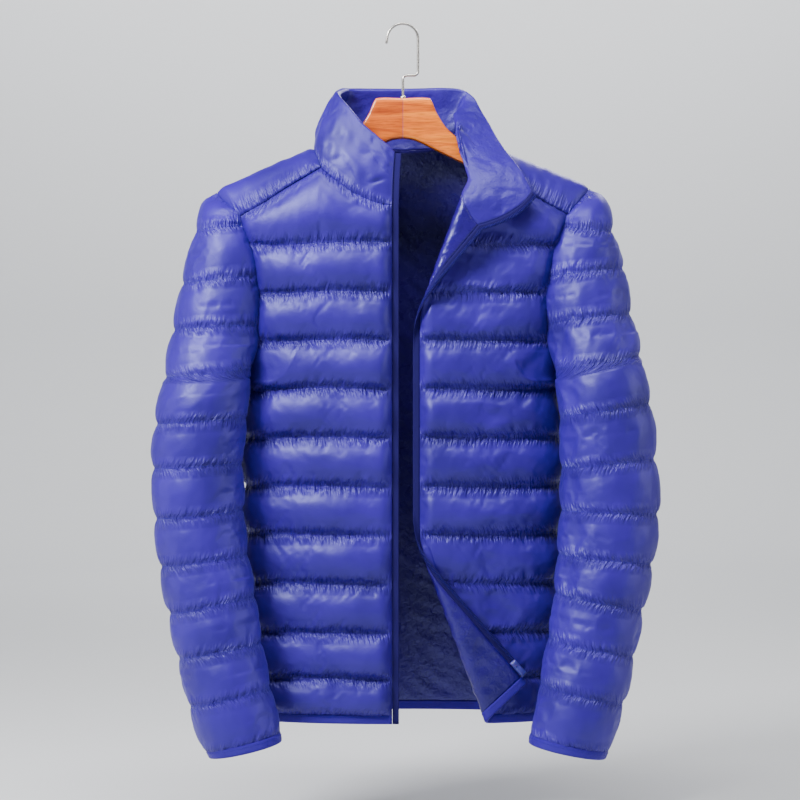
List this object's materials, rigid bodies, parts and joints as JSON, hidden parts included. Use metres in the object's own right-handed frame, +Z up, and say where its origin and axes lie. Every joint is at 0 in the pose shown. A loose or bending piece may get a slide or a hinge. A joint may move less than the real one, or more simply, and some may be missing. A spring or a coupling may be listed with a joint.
{
  "type": "puffer jacket on a wooden hanger",
  "caption": "Light quilted puffer jacket with a stand collar, hanging open on a wooden suit hanger with a steel hook.",
  "frame": {"origin": "the inside top of the hook, the point at which a rail or a peg carries the hanger", "axes": "+X to the viewer's right (the wearer's left), +Y from the fronts to the back, +Z up"},
  "size_m": [0.6092, 0.2246, 0.8863],
  "materials": {
    "nylon": "royal blue downproof nylon with a soft sheen, quilted; deeper blue shiny lining inside",
    "binding": "royal blue stretch binding with one stitch line",
    "zip_tape": "violet navy woven zip tape with a nylon coil",
    "zip_plastic": "pale blue moulded plastic, slightly cloudy",
    "wood": "orange brown lacquered wood with a fine grain",
    "steel": "satin bent steel wire"
  },
  "bodies": {
    "root": {"front_right": "nylon", "front_left": "nylon", "back": "nylon", "yoke_right": "nylon", "yoke_left": "nylon", "collar": "nylon", "sleeve_right": "nylon", "sleeve_left": "nylon", "cuff_binding_right": "binding", "cuff_binding_left": "binding", "hem_binding_right": "binding", "hem_binding_left": "binding", "hem_binding_back": "binding", "zip_tape_right": "zip_tape", "zip_tape_left": "zip_tape", "zip_pin": "zip_plastic", "hanger_wood_right": "wood", "hanger_wood_left": "wood", "hook": "steel"}
  },
  "joints": []
}
